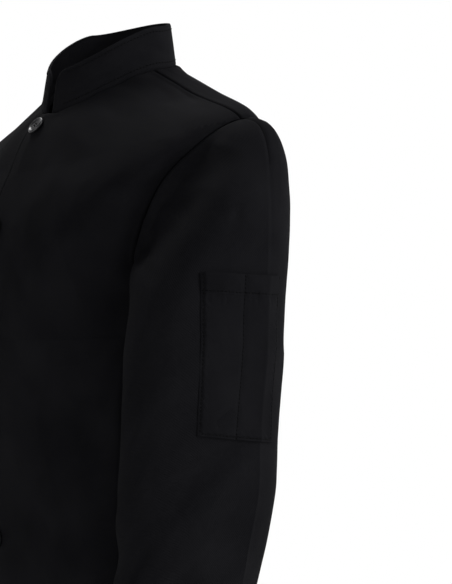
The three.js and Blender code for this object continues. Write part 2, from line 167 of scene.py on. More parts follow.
# Creases of the left side of the body, then of the right side, then of each sleeve.
LEFT_CREASES = table(FOLD_COLUMNS, [
    [72, -126, 36, -184, 0, 24, -6.5, 1],
    [66, -84, 40, -126, 0, 16, 2.2, 1],
    [72, -76, 64.5, -190, 0, 17, -7.5, 1],
    [66, -236, 61, -540, 2, 10, -11.0, 1],
    [81, -13, 76, -30, 0, 4, -1.5, 1],
    [74, -12, 66, -32, 3, 5, -0.9, 1],
    [60, -24, 44, -40, -3, 7, -0.8, 1],
    [74, -170, 40, -205, 6, 9, -1.6, 1],
    [72, -228, 50, -330, -8, 8, -1.3, 1],
    [84, -262, 66, -372, 10, 7, 1.5, 1],
    [95, -340, 70, -395, -6, 9, -1.8, 1],
    [88, -410, 48, -445, 8, 10, -1.7, 1],
    [60, -500, 66, -640, 5, 12, 1.6, 1],
    [36, -560, 30, -715, -4, 14, -1.5, 1],
    [118, -280, 150, -380, 8, 10, -1.8, 1],
    [160, -250, 166, -470, -6, 14, -1.4, 1],
    [132, -470, 128, -660, 6, 13, 1.7, 1],
    [110, -555, 116, -700, -4, 10, -1.5, 1],
    [136, -96, 168, -104, 4, 9, -1.2, 1],
])
RIGHT_CREASES = table(FOLD_COLUMNS, [
    [72, -116, 42, -168, 4, 28, -3.8, 1],
    [72, -80, 65, -186, 0, 16, -5.5, 1],
    [66, -250, 61, -440, -3, 12, -5.0, 1],
    [68, -84, 40, -118, 0, 15, 1.2, 1],
    [76, -160, 46, -218, -5, 10, -1.8, 1],
    [70, -240, 44, -315, 7, 9, -1.1, 1],
    [86, -290, 72, -390, -8, 8, 1.7, 1],
    [97, -372, 64, -402, 6, 8, -1.5, 1],
    [80, -428, 52, -470, -6, 11, -1.5, 1],
    [66, -530, 72, -676, -6, 12, 1.5, 1],
    [28, -590, 34, -720, 5, 13, -1.2, 1],
    [122, -262, 146, -398, -7, 11, -1.6, 1],
    [156, -300, 170, -440, 7, 12, -1.5, 1],
    [138, -500, 132, -640, -5, 12, 1.4, 1],
    [104, -580, 112, -716, 5, 11, -1.6, 1],
    [140, -92, 166, -112, -5, 10, -1.1, 1],
])
LEFT_SLEEVE_CREASES = table(FOLD_COLUMNS, [
    [7, -70, 20, -126, 3, 15, -7.0, 1],
    [14, -104, 27, -170, 2, 14, -7.0, 1],
    [24.5, -146, 28.5, -180, 0, 6, -5.5, 1],
    [16, -86, 24, -140, 4, 12, 2.2, 1],
    [6.6, -126, 8.4, -141, 1, 3.5, -1.5, 1],
    [6, -338, 25, -369, 0, 8.5, -3.0, 1],
    [4, -356, 20, -392, 0, 12, 2.6, 1],
    [29, -150, 42, -206, 3, 6, -1.6, 1],
    [24, -208, 31, -262, -4, 8, -1.1, 1],
    [6, -132, 11, -160, 2, 5, -1.1, 1],
    [4, -345, 13, -372, 2, 7, 1.2, 1],
    [12, -366, 34, -432, 6, 9, -1.6, 1],
    [30, -352, 44, -398, -4, 8, -1.2, 1],
    [5, -444, 28, -470, 4, 8, -1.4, 1],
    [22, -484, 48, -515, 6, 9, -1.6, 1],
    [60, -430, 82, -470, -5, 10, -1.5, 1],
    [68, -300, 84, -352, 5, 9, -1.3, 1],
    [86, -240, 92, -330, 3, 8, 1.1, 1],
    [12, -548, 36, -580, -4, 8, -1.2, 1],
    [56, -565, 78, -596, 4, 8, -1.3, 1],
])
RIGHT_SLEEVE_CREASES = table(FOLD_COLUMNS, [
    [8, -74, 22, -140, 2, 14, -5.5, 1],
    [28, -142, 40, -214, -3, 7, -1.5, 1],
    [22, -220, 33, -270, 4, 8, -1.2, 1],
    [4, -300, 16, -340, -3, 8, 1.1, 1],
    [10, -380, 36, -420, -6, 9, -1.5, 1],
    [32, -340, 46, -410, 4, 8, -1.3, 1],
    [8, -452, 32, -486, -4, 8, -1.5, 1],
    [24, -500, 50, -520, -6, 9, -1.4, 1],
    [58, -420, 80, -482, 5, 10, -1.6, 1],
    [70, -290, 82, -366, -5, 9, -1.2, 1],
    [88, -260, 94, -352, -3, 8, 1.0, 1],
    [14, -556, 34, -592, 4, 8, -1.3, 1],
    [60, -552, 76, -604, -4, 8, -1.1, 1],
])


COLLAR_FOLDS = table(FOLD_COLUMNS, [
    [16, 10, 52, 13, 2, 3.2, -1.3, 1],
    [38, 20, 84, 15, -2, 3.6, -1.2, 1],
    [66, 8, 104, 6, 2, 3.0, 1.0, 1],
    [96, 24, 128, 12, 3, 4.0, -1.1, 1],
    [168, 14, 214, 20, -3, 4.5, -1.0, 1],
    [262, 10, 300, 22, 3, 4.0, -1.1, 1],
    [318, 18, 352, 12, -2, 3.6, -1.2, 1],
    [344, 9, 384, 12, 2, 3.4, 1.0, 1],
])
POCKET_FOLDS = table(FOLD_COLUMNS, [
    [52, -122, 60, -128, 0, 6, -2.6, 0],
    [26, -17, 38, -18, 0, 3.4, -1.8, 1],
    [8, -19, 20, -18, 0, 4, -1.0, 1],
    [20, -96, 40, -112, 4, 9, -1.1, 1],
    [66, -60, 80, -100, 3, 7, -0.9, 1],
    [12, -40, 30, -70, -3, 8, -0.8, 1],
])


def read_rows(columns, w):
    """A smooth curve through each column, read at row number w: the cubic that has, at each
    row, the slope from the row before to the row after."""
    last = len(next(iter(columns.values()))) - 1
    w = np.clip(np.asarray(w, float), 0, last)
    i = np.minimum(w.astype(int), last - 1)
    f = w - i
    before, after = np.maximum(i - 1, 0), np.minimum(i + 2, last)
    out = {}
    for name, v in columns.items():
        a, b, c, d = v[before], v[i], v[i + 1], v[after]
        out[name] = 0.5 * (2 * b + (c - a) * f + (2 * a - 5 * b + 4 * c - d) * f**2
                           + (3 * b - a - 3 * c + d) * f**3)
    return SimpleNamespace(**out)


def unit(v):
    """Vectors divided by their own length."""
    return v / np.maximum(np.linalg.norm(v, axis=-1, keepdims=True), 1e-9)


def body_point(angle, w):
    """The body's surface: an oval at each ring. x is the side times sine to the power
    2 / square, y goes from the side to the front or back by cosine to that power, and
    z by cosine to the power DIP."""
    r = read_rows(BODY_RINGS, w)
    c, s = np.cos(angle), np.sin(angle)
    end_y = np.where(c > 0, r.frontY, r.backY)
    end_z = np.where(c > 0, r.frontZ, r.backZ)
    x = r.sideX * np.sign(s) * np.abs(s) ** (2 / r.square)
    y = r.sideY + (end_y - r.sideY) * np.abs(c) ** (2 / r.square)
    z = r.sideZ + (end_z - r.sideZ) * np.abs(c) ** DIP
    return np.stack([x, y, z], -1)


def body_normal(angle, w):
    """Straight out of the body: the step across crossed with the step up."""
    step = 0.03
    across = body_point(angle + step, w) - body_point(angle - step, w)
    along = body_point(angle, np.minimum(w + step, NECK)) - body_point(angle, np.maximum(w - step, 0))
    return unit(np.cross(across, along))


def angle_at_depth(y, w):
    """The ring angle on the left at which a ring has the depth y."""
    r = read_rows(BODY_RINGS, w)
    front = y < r.sideY
    end = np.where(front, r.frontY, r.backY)
    angle = np.arccos(np.clip(np.abs((y - r.sideY) / (end - r.sideY)), 0, 1) ** (r.square / 2))
    return np.where(front, angle, np.pi - angle)


def angle_at_width(x, w):
    """The ring angle at which the front is x from the centre line."""
    r = read_rows(BODY_RINGS, w)
    return np.sign(x) * np.arcsin(np.abs(x / r.sideX) ** (r.square / 2))


def edge_depth(w, bow):
    """Depth of a panel's outer edge. Below the arm it is the side seam, above it the straight
    line from the side seam to the shoulder tip plus bow times a half oval, then the shoulder
    seam."""
    side = read_rows(BODY_RINGS, w).sideY
    start = BODY_RINGS["sideY"][UNDERARM]
    t = np.clip((w - UNDERARM) / (SHOULDER_TIP - UNDERARM), 0, 1)
    low = np.sqrt(1 - (1 - np.minimum(t / ARMHOLE_WIDEST, 1)) ** 2)
    high = np.sqrt(1 - np.maximum((t - ARMHOLE_WIDEST) / (1 - ARMHOLE_WIDEST), 0) ** ARMHOLE_TAPER)
    arm = start + (SHOULDER_TIP_Y - start) * t + bow * np.minimum(low, high)
    k = np.clip((w - SHOULDER_TIP) / (NECK - SHOULDER_TIP), 0, 1)
    seam = SHOULDER_TIP_Y + (SHOULDER_NECK_Y - SHOULDER_TIP_Y) * k
    return np.where(w <= UNDERARM, side, np.where(w < SHOULDER_TIP, arm, seam))


def lengths_along(points):
    """Distance along a run of points to each of them, on the second last axis."""
    steps = np.linalg.norm(np.diff(points, axis=-2), axis=-1)
    zero = np.zeros(steps.shape[:-1] + (1,))
    return np.concatenate([zero, np.cumsum(steps, axis=-1)], axis=-1)


def point_along(points, lengths, distance):
    """The points at given distances along a run of points."""
    return np.stack([np.interp(distance, lengths, points[:, i]) for i in range(3)], -1)


def fold_height(folds, across, z, reach):
    """Sum of the folds at each place: a bell across each run, whose middle bows sideways."""
    total = np.zeros(np.broadcast(across, z).shape)
    for row in zip(*folds.values()):
        f = SimpleNamespace(**dict(zip(folds, row)))
        run_a, run_z = (f.toAcross - f.fromAcross) * reach, f.toZ - f.fromZ
        at_a, at_z = (across - f.fromAcross) * reach, z - f.fromZ
        size = math.hypot(run_a, run_z)
        share = (at_a * run_a + at_z * run_z) / size**2
        inside = np.clip(share, 0, 1)
        side = (at_z * run_a - at_a * run_z) / size - f.bow * 4 * inside * (1 - inside)
        past = (share - inside) * size
        bell = np.exp(-((side**2 + past**2) / f.width**2))
        fade = np.sin(np.pi * inside) ** 0.8 if f.soft else 1
        total += f.height * bell * fade
    return total


def unevenness(across, along, seed, size):
    """Gentle rise and fall of hanging cloth: waves in set directions with a random start."""
    rng = np.random.default_rng(seed)
    total = np.zeros(across.shape)
    for length, share in ((170, 1.0), (105, 0.7), (64, 0.42), (38, 0.22), (21, 0.1)):
        for _ in range(3):
            turn, start = rng.uniform(-0.9, 0.9), rng.uniform(0, 2 * np.pi)
            phase = (across * math.cos(turn) + along * math.sin(turn)) * 2 * np.pi / length + start
            slow = (along * math.cos(turn) - across * math.sin(turn)) * 2 * np.pi / (length * 2.3)
            total += share * np.sin(phase + 1.3 * np.sin(slow + start * 1.7)) * size / 3
    return total


def near_line(points, line):
    """Distance from each point to the nearest point of a line."""
    flat = points.reshape(-1, 3)
    best = np.full(len(flat), 1e9)
    for chunk in np.array_split(line, max(1, len(line) // 40)):
        gap = flat[:, None, :] - chunk[None, :, :]
        best = np.minimum(best, np.sqrt((gap**2).sum(-1)).min(1))
    return best.reshape(points.shape[:-1])


def sewn_edge(distance, along, seed, depth):
    """Relief beside a seam: the cloth rolls in at the join by depth, swells beside it and
    puckers in short uneven waves that fade within 20 mm."""
    roll = -depth * np.exp(-((distance / 0.9) ** 2))
    swell = 0.3 * np.exp(-(((distance - 3.2) / 2.0) ** 2))
    rng = np.random.default_rng(seed)
    waves = sum(np.sin(along * 2 * np.pi / step + rng.uniform(0, 6)) for step in (9.3, 13.7, 21.0))
    pucker = 0.13 * waves * np.exp(-distance / 9) * (1 - np.exp(-distance / 2))
    return roll + swell + pucker


def stitch_dent(distance, place):
    """The shallow valley that a row of stitches pulls into the cloth at a distance from the edge."""
    return -0.5 * np.exp(-(((distance - place) / 0.8) ** 2))


def grid_normals(grid):
    """Unit normals of a grid of points: the step across crossed with the step along."""
    across = np.gradient(grid, axis=1)
    along = np.gradient(grid, axis=0)
    return unit(np.cross(across, along))


def close_to_ends(length, fine, ends, middle):
    """Places from 0 to length: fine steps near each named end, even ones in the middle."""
    low = np.array(fine) if "low" in ends else np.array([0.0])
    high = length - np.array(fine)[::-1] if "high" in ends else np.array([length])
    inner = np.linspace(low[-1], high[0], middle + 2)[1:-1]
    return np.concatenate([low, inner, high])


def cloth_mesh(name, outer, thickness, material, inward=None):
    """A thin closed shell: the outer grid, the same grid moved in by the thickness, and a
    strip round the four edges. Its uv map holds metres across and along the cloth."""
    rows, columns = outer.shape[:2]
    normals = grid_normals(outer) if inward is None else inward
    inner = outer - normals * thickness
    points = np.concatenate([outer.reshape(-1, 3), inner.reshape(-1, 3)])
    at = np.arange(rows * columns).reshape(rows, columns)
    back = at + rows * columns
    face = np.stack([at[:-1, :-1], at[:-1, 1:], at[1:, 1:], at[1:, :-1]], -1).reshape(-1, 4)
    lining = np.stack([back[:-1, :-1], back[1:, :-1], back[1:, 1:], back[:-1, 1:]], -1).reshape(-1, 4)
    rim = np.concatenate([at[0], at[1:, -1], at[-1, ::-1][1:], at[::-1, 0][1:-1]])
    after = np.roll(rim, -1)
    offset = rows * columns
    strip = np.stack([rim + offset, after + offset, after, rim], -1)
    faces = np.concatenate([face, lining, strip])
    piece = joined_mesh(name, points, faces, material)
    across = lengths_along(outer)
    along = lengths_along(np.swapaxes(outer, 0, 1)).T
    flat = np.stack([across - across[:, -1:] / 2, along], -1).reshape(-1, 2) * MM
    uv = piece.data.uv_layers.new(name="cloth")
    uv.data.foreach_set("uv", np.concatenate([flat, flat])[faces.ravel()].ravel())
    piece.data.set_sharp_from_angle(angle=math.radians(50))
    return piece


def joined_mesh(name, points, faces, material, smooth=True):
    """One mesh object from arrays of points in millimetres and faces of equal size."""
    mesh = bpy.data.meshes.new(name)
    size = faces.shape[1]
    mesh.vertices.add(len(points))
    mesh.vertices.foreach_set("co", (points * MM).ravel())
    mesh.loops.add(faces.size)
    mesh.loops.foreach_set("vertex_index", faces.ravel())
    mesh.polygons.add(len(faces))
    mesh.polygons.foreach_set("loop_start", np.arange(0, faces.size, size))
    mesh.update(calc_edges=True)
    mesh.polygons.foreach_set("use_smooth", np.full(len(faces), smooth))
    mesh.materials.append(material)
    piece = bpy.data.objects.new(name, mesh)
    bpy.context.collection.objects.link(piece)
    return piece


def linear(code):
    """An sRGB hex colour turned to linear values."""
    channels = [int(code[i:i + 2], 16) / 255 for i in (1, 3, 5)]
    return [c / 12.92 if c <= 0.04045 else ((c + 0.055) / 1.055) ** 2.4 for c in channels] + [1.0]


def add(tree, kind, settings=None, links=None):
    """Adds a node, sets its properties and inputs by name, and links its inputs."""
    node = tree.nodes.new(kind)
    for key, value in (settings or {}).items():
        if isinstance(key, int) or key in node.inputs:
            node.inputs[key].default_value = value
        else:
            setattr(node, key, value)
    for key, socket in (links or {}).items():
        tree.links.new(socket, node.inputs[key])
    return node


def new_material(name):
    """A material with its node tree and shader."""
    material = bpy.data.materials.new(name)
    material.use_nodes = True
    return material, material.node_tree, material.node_tree.nodes["Principled BSDF"]


def two_colours(tree, factor, low, high, start=0.0):
    """A ramp between two hex colours, from a starting value up to 1."""
    ramp = add(tree, "ShaderNodeValToRGB", links={0: factor})
    first, last = ramp.color_ramp.elements
    first.position, first.color = start, linear(low)
    last.position, last.color = 1.0, linear(high)
    return ramp.outputs["Color"]


def black_twill(name, base, light):
    """Polyester and cotton twill, piece dyed black and pressed. The eye sees a deep matt black
    with faint slanting lines and slightly worn patches."""
    material, tree, shader = new_material(name)
    uv = add(tree, "ShaderNodeUVMap", {"uv_map": "cloth"}).outputs["UV"]
    split = add(tree, "ShaderNodeSeparateXYZ", links={0: uv})
    slant = add(tree, "ShaderNodeMath", {"operation": "MULTIPLY_ADD", 1: 1.7},
                {0: split.outputs["X"], 2: split.outputs["Y"]})
    lines = add(tree, "ShaderNodeMath", {"operation": "MULTIPLY", 1: 2 * math.pi / (TWILL_STEP * MM * 1.97)},
                {0: slant.outputs[0]})
    wave = add(tree, "ShaderNodeMath", {"operation": "SINE"}, {0: lines.outputs[0]})
    yarn = add(tree, "ShaderNodeTexNoise", {"Scale": 1 / (YARN * MM), "Detail": 3.0, "Roughness": 0.6},
               {"Vector": uv})
    mottle = add(tree, "ShaderNodeTexNoise", {"Scale": 260.0, "Detail": 4.0, "Roughness": 0.65},
                 {"Vector": uv})
    patch = add(tree, "ShaderNodeTexNoise", {"Scale": 14.0, "Detail": 3.0, "Roughness": 0.55},
                {"Vector": uv})
    height = add(tree, "ShaderNodeMath", {"operation": "MULTIPLY_ADD", 1: 0.35},
                 {0: wave.outputs[0], 2: yarn.outputs["Fac"]})
    bump = add(tree, "ShaderNodeBump", {"Strength": 0.5, "Distance": 0.00035}, {"Height": height.outputs[0]})
    blend = add(tree, "ShaderNodeMath", {"operation": "MULTIPLY_ADD", 1: 0.55},
                {0: mottle.outputs["Fac"], 2: patch.outputs["Fac"]})
    colour = two_colours(tree, blend.outputs[0], base, light, 0.55)
    rough = add(tree, "ShaderNodeMapRange",
                {"From Min": 0.3, "From Max": 0.7, "To Min": 0.78, "To Max": 0.94},
                {"Value": mottle.outputs["Fac"]})
    tree.links.new(colour, shader.inputs["Base Color"])
    tree.links.new(rough.outputs["Result"], shader.inputs["Roughness"])
    tree.links.new(bump.outputs["Normal"], shader.inputs["Normal"])
    shader.inputs["Specular IOR Level"].default_value = 0.02
    return material


def spun_thread():
    """Black polyester sewing thread, twisted and slightly waxed. It gives a fine broken line
    with a small glint that the cloth hasn't. Its colour is painted far darker than the cloth,
    as painted shade for the needle holes and the groove that the stitches pull in."""
    material, tree, shader = new_material("black_thread_and_painted_shade")
    place = add(tree, "ShaderNodeTexCoord").outputs["Object"]
    twist = add(tree, "ShaderNodeTexNoise", {"Scale": 1800.0, "Detail": 2.0}, {"Vector": place})
    # painted shade: the thread's near-black colour, far darker than the cloth's, stands in for the shade in
    # the needle holes and the stitch groove
    colour = two_colours(tree, twist.outputs["Fac"], "#010101", "#040405")
    bump = add(tree, "ShaderNodeBump", {"Strength": 0.4, "Distance": 0.0001},
               {"Height": twist.outputs["Fac"]})
    tree.links.new(colour, shader.inputs["Base Color"])
    tree.links.new(bump.outputs["Normal"], shader.inputs["Normal"])
    shader.inputs["Roughness"].default_value = 0.7
    shader.inputs["Specular IOR Level"].default_value = 0.04
    return material


def moulded_plastic():
    """Black polyester resin buttons, turned and tumbled. They give a soft satin light with
    fine cloudy wear on the rim."""
    material, tree, shader = new_material("black_button_resin")
    place = add(tree, "ShaderNodeTexCoord").outputs["Object"]
    cloud = add(tree, "ShaderNodeTexNoise", {"Scale": 420.0, "Detail": 4.0}, {"Vector": place})
    colour = two_colours(tree, cloud.outputs["Fac"], "#0c0c0e", "#1b1b1e")
    rough = add(tree, "ShaderNodeMapRange", {"To Min": 0.24, "To Max": 0.5}, {"Value": cloud.outputs["Fac"]})
    tree.links.new(colour, shader.inputs["Base Color"])
    tree.links.new(rough.outputs["Result"], shader.inputs["Roughness"])
    shader.inputs["Specular IOR Level"].default_value = 0.4
    return material


CLOTH_BLACK = black_twill("black_cotton_twill", "#08080a", "#0f0f11")
THREAD_BLACK_AND_PAINTED_SHADE = spun_thread()
RESIN_BLACK = moulded_plastic()


def body_levels(below, arm, shoulder):
    """Ring numbers of a panel's rows, closer at the hem and where the armhole turns."""
    hem = np.array([0, 0.6, 1.2, 2, 4, 8, 14, 19, 20.4, 21.2, 22, 22.8, 23.6, 25]) / 125
    low = np.linspace(hem[-1], UNDERARM, below + 1)[1:-1]
    turn = (1 - np.cos(np.linspace(0, np.pi, arm))) / 2
    middle = UNDERARM + (SHOULDER_TIP - UNDERARM) * turn
    high = np.linspace(SHOULDER_TIP, NECK, shoulder + 1)[1:]
    return np.concatenate([hem, low, middle, high])


def even_angles(w, start, end, places):
    """Ring angles at given distances along each row. places maps a row's length to distances."""
    rows = []
    for level, a, b in zip(w, start, end):
        angles = np.linspace(a, b, 240)
        lengths = lengths_along(body_point(angles, np.full(240, level)))
        rows.append(np.interp(places(lengths[-1]), lengths, angles))
    return np.array(rows)


def body_cloth(angle, w, right):
    """Body surface with its folds: the sum of the large folds, which both sides share, and of
    each side's own creases and unevenness. right is how far a place belongs to the right side,
    from 0 to 1, so both panels at a seam are moved alike."""
    point = body_point(angle, w)
    normal = body_normal(angle, w)
    degrees = np.degrees(angle)
    across = np.where(degrees > 180, 360 - degrees, np.abs(degrees))
    z = point[..., 2]
    height = fold_height(BODY_FOLDS, across, z, BODY_REACH)
    left_own = fold_height(LEFT_CREASES, across, z, BODY_REACH)
    left_own += unevenness(across * BODY_REACH, z, 11, UNEVEN)
    right_own = fold_height(RIGHT_CREASES, across, z, BODY_REACH)
    right_own += unevenness(across * BODY_REACH, z, 12, UNEVEN)
    return point, normal, height + left_own * (1 - right) + right_own * right


def neck_relief(down):
    """The cloth rolls in where the collar is sewn on and swells below it."""
    return -1.1 * np.exp(-((down / 1.6) ** 2)) + 0.4 * np.exp(-(((down - 4.5) / 2.6) ** 2))


def seam_relief(point, edge, w, along, seed):
    """Relief of the side seam, the armhole seam and the shoulder seam along a panel's edge."""
    arm, tip = np.searchsorted(w, UNDERARM), np.searchsorted(w, SHOULDER_TIP)
    lines = edge[:arm + 1], edge[arm:tip + 1], edge[tip:]
    return sum(sewn_edge(near_line(point, line), along, seed + number, depth)
               for number, (line, depth) in enumerate(zip(lines, SEAM_DEPTHS)))


def hem_relief(rise, edge=HEM):
    """A turned hem is a little thicker than the cloth above it, and its stitches pull in."""
    step = 0.5 / (1 + np.exp((rise - edge) / 0.7))
    return step - 0.5 + stitch_dent(rise, edge)


def front_panel(side):
    """Grid of one front: rows from the hem to the neck, columns from the centre to the side."""
    w = body_levels(*PANEL_ROWS)
    start = angle_at_width(np.full(w.shape, -float(FRONT_OVERLAP)), w)
    end = angle_at_depth(edge_depth(w, -ARMHOLE_FORWARD), w)
    angle = even_angles(w, start, end, lambda length: close_to_ends(length, SEAM_STEPS, "low high", 86))
    rings = np.repeat(w[:, None], angle.shape[1], 1)
    point, normal, height = body_cloth(angle, rings, 0 if side > 0 else 1)
    along = lengths_along(np.swapaxes(point, 0, 1)).T
    across = lengths_along(point)
    height += seam_relief(point, point[:, -1], w, along + across, 31)
    height += hem_relief(along) + neck_relief(along[-1:] - along)
    height += stitch_dent(across, FRONT_STITCH) - 0.8 * np.exp(-((across / 1.2) ** 2))
    if side < 0:
        tuck = np.clip((point[..., 0] - FRONT_OVERLAP) / TUCK_FADE, 0, 1)
        height -= TUCK_DEPTH * (1 - tuck**2 * (3 - 2 * tuck))
    grid = point + normal * height[..., None]
    return grid, normal


def back_panel():
    """Grid of the back: rows from the hem to the neck, columns from the left to the right."""
    w = body_levels(*PANEL_ROWS)
    side = angle_at_depth(edge_depth(w, ARMHOLE_BACK), w)
    places = lambda length: close_to_ends(length, SEAM_STEPS, "low high", 150)
    angle = even_angles(w, side, 2 * np.pi - side, places)
    rings = np.repeat(w[:, None], angle.shape[1], 1)
    point, normal, height = body_cloth(angle, rings, smooth_step(np.degrees(angle), 155, 205))
    along = lengths_along(np.swapaxes(point, 0, 1)).T
    slant = along + lengths_along(point)
    height += seam_relief(point, point[:, 0], w, slant, 41) + seam_relief(point, point[:, -1], w, slant, 44)
    height += hem_relief(along)
    height += neck_relief(along[-1:] - along)
    return point + normal * height[..., None], normal


def armhole_edge(front, back):
    """The armhole from the shoulder tip down the front, under the arm and up the back, with
    the body's normals: the finished outer edges of the two panels between those rings."""
    w = body_levels(*PANEL_ROWS)
    arm, tip = np.searchsorted(w, UNDERARM), np.searchsorted(w, SHOULDER_TIP)
    rows = slice(arm, tip + 1)
    return [np.concatenate([f[rows][::-1], b[rows][1:]]) for f, b in zip(front, back)]


def sleeve_surface(seam, outs, share, v):
    """The sleeve at shares round from the crease. v goes from 0 at the armhole to 1 at the
    upper arm along a cubic with set directions at both ends, then down the arm sections.
    Rows below 0 are the seam allowance, which lies under the body."""
    lengths = lengths_along(seam)
    part = share - np.floor(share)
    edge = point_along(seam, lengths, part * lengths[-1])
    out = unit(point_along(outs, lengths, part * lengths[-1]))
    top = (1 + np.cos(2 * np.pi * part)) / 2
    mix = lambda pair: pair[0] + (pair[1] - pair[0]) * top
    aside = CAP_BACKWARD * top - CAP_FULLNESS * (1 - top) * np.sin(2 * np.pi * part)
    leave = unit(np.stack([np.ones_like(top), aside, mix(CAP_SLOPE)], -1))
    start = edge + leave * ARMHOLE_GAP
    reach = leave * mix(CAP_OUT)[:, None]
    down = CAP_DOWN[0] + (CAP_DOWN[1] - CAP_DOWN[0]) * np.sqrt(top)
    arrive = np.stack([0 * top, 0 * top, -down], -1)
    upper = arm_rows(share, np.zeros(1))[0]
    rows = [start - out * down - leave * back for down, back in ((2.8, 8), (2.8, 3), (2.3, 0.2))]
    for t in v[(v >= 0) & (v < 1)]:
        rows.append((2 * t**3 - 3 * t**2 + 1) * start + (t**3 - 2 * t**2 + t) * reach
                    + (3 * t**2 - 2 * t**3) * upper + (t**3 - t**2) * arrive)
    return np.concatenate([np.array(rows), arm_rows(share, v[v >= 1] - 1)])


def arm_rows(share, k):
    """Rows of the arm sections at row numbers k, each at the same shares round."""
    s = read_rows(ARM_SECTIONS, k)
    turn = math.radians(CREASE_ANGLE) - 2 * np.pi * np.arange(361) / 360
    lean = np.radians(s.lean)[:, None]
    dx = s.short[:, None] * np.cos(turn)
    dy = s.long[:, None] * np.sin(turn)
    ring = np.stack([s.x[:, None] + dx, s.y[:, None] + dy * np.cos(lean),
                     s.z[:, None] + dx * s.tilt[:, None] - dy * np.sin(lean)], -1)
    lengths = lengths_along(ring)
    part = share - np.floor(share)
    return np.array([point_along(r, d, part * d[-1]) for r, d in zip(ring, lengths)])


def line_at(grid, normals, distance, from_end=False):
    """The line at one distance in from the first column, or from the last one."""
    points, outs = [], []
    for row, out in zip(grid, normals):
        lengths = lengths_along(row)
        at = lengths[-1] - distance if from_end else distance
        points.append(point_along(row, lengths, at))
        outs.append(unit(point_along(out, lengths, at)))
    return np.array(points), np.array(outs)


def turned(grid):
    """A grid with its rows and columns exchanged."""
    return np.swapaxes(grid, 0, 1)


def stitch_row(name, runs, material, seed=3, size=STITCH, step=STITCH_STEP, radius=THREAD):
    """Stitches along runs of points: each one a short thread, round and thinner at both ends,
    that dips into the cloth there. Every stitch is turned a little from its neighbours."""
    rng = np.random.default_rng(seed)
    centres, ways, outs = [], [], []
    for points, normals in runs:
        lengths = lengths_along(points)
        count = max(int(lengths[-1] / step), 1)
        places = (np.arange(count) + 0.5) * lengths[-1] / count
        ahead = point_along(points, lengths, np.minimum(places + 0.6, lengths[-1]))
        behind = point_along(points, lengths, np.maximum(places - 0.6, 0))
        centres.append(point_along(points, lengths, places))
        ways.append(unit(ahead - behind))
        outs.append(unit(point_along(normals, lengths, places)))
    centre, way, out = (np.concatenate(v) for v in (centres, ways, outs))
    side = unit(np.cross(out, way))
    tilt = rng.normal(0.08, 0.035, len(centre))[:, None]
    way, side = unit(way + side * tilt), unit(side - way * tilt)
    along = np.array([-1, -0.6, 0.6, 1]) * size / 2
    thick = np.array([0.4, 1, 1, 0.4]) * radius
    lift = np.array([-0.7, 0.45, 0.45, -0.7]) * radius
    turn = np.arange(6) * np.pi / 3
    ring_side = thick[:, None] * np.cos(turn)
    ring_out = thick[:, None] * np.sin(turn) + lift[:, None]
    points = (centre[:, None, None] + way[:, None, None] * along[None, :, None, None]
              + side[:, None, None] * ring_side[None, :, :, None]
              + out[:, None, None] * ring_out[None, :, :, None])
    at = np.arange(24).reshape(4, 6)
    after = np.roll(at, -1, axis=1)
    tube = np.stack([at[:-1], at[1:], after[1:], after[:-1]], -1).reshape(-1, 4)
    ends = np.array([[0, 1, 2, 3], [0, 3, 4, 5], [21, 20, 19, 18], [23, 22, 21, 18]])
    faces = np.concatenate([tube[:, ::-1], ends[:, ::-1]])
    all_faces = (np.arange(len(centre))[:, None, None] * 24 + faces[None]).reshape(-1, 4)
    piece = joined_mesh(name, points.reshape(-1, 3), all_faces, material)
    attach(piece, "root")
    return piece


def dressed(piece, node):
    """Makes a cloth piece stand for its node: attaches it to the root and hides that part."""
    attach(piece, "root")
    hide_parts(node)


def mirror(grid):
    """The same shape on the other side, with its columns in the other order."""
    return (grid * FLIP)[:, ::-1]


def make_front(side, name):
    """One front with its stitching along the front edge and the hem. Returns its outer edge
    as it would be on the left, with its normals."""
    grid, normal = front_panel(side)
    normals = grid_normals(grid)
    outer_edge = grid[:, -1], normal[:, -1]
    runs = [
        line_at(grid, normals, FRONT_STITCH),
        line_at(turned(grid), turned(normals), HEM),
    ]
    if side < 0:
        runs = [(points * FLIP, outs * FLIP) for points, outs in runs]
        grid, normal = mirror(grid), mirror(normal)
    piece = cloth_mesh(name, grid, CLOTH, CLOTH_BLACK, normal)
    sewing = stitch_row(name + "_stitches", runs, THREAD_BLACK_AND_PAINTED_SHADE, 5)
    dressed(piece, name)
    return outer_edge


def make_back():
    """The back with its stitching along the hem. Returns its left edge, and its right edge as
    it would be on the left, each with its normals."""
    grid, normal = back_panel()
    normals = grid_normals(grid)
    piece = cloth_mesh("back", grid, CLOTH, CLOTH_BLACK, normal)
    runs = [line_at(turned(grid), turned(normals), HEM)]
    sewing = stitch_row("back_stitches", runs, THREAD_BLACK_AND_PAINTED_SHADE, 6)
    dressed(piece, "back")
    return (grid[:, 0], normal[:, 0]), (grid[:, -1] * FLIP, normal[:, -1] * FLIP)


def sleeve_places(seam):
    """Shares of the columns and row numbers of the rows. Columns lie closer at the crease and
    at the underarm seam, rows at the armhole and the cuff."""
    lengths = lengths_along(seam)
    under = lengths[np.argmin(seam[:, 2])] / lengths[-1]
    fine = np.array([0, 0.6, 1.3, 2.2, 3.4, 5, 7]) / SLEEVE_GIRTH
    press = np.array([-14, -9, -6, -4, -2.6, -1.6, -0.8, 0, 0.8, 1.6, 2.6, 4, 6, 9, 14])
    press = (press + PRESS_AHEAD) / SLEEVE_GIRTH
    behind = np.linspace(under - 1 + fine[-1], press[0], 80)[1:-1]
    ahead = np.linspace(press[-1], under - fine[-1], 80)[1:-1]
    share = np.concatenate([under - 1 + fine, behind, press, ahead, under - fine[::-1]])
    cap = np.concatenate([np.array(SEAM_STEPS[:9]) / 190, np.linspace(0.03, 1, 66)])[:-1]
    arm = np.linspace(1, 5.7, 140)
    cuff = 6 - np.array([26, 24.4, 23.2, 22.4, 21.6, 20.6, 16, 10, 5, 2, 1, 0]) / 95
    return share, np.concatenate([[-0.03, -0.02, -0.01], cap, arm, cuff])


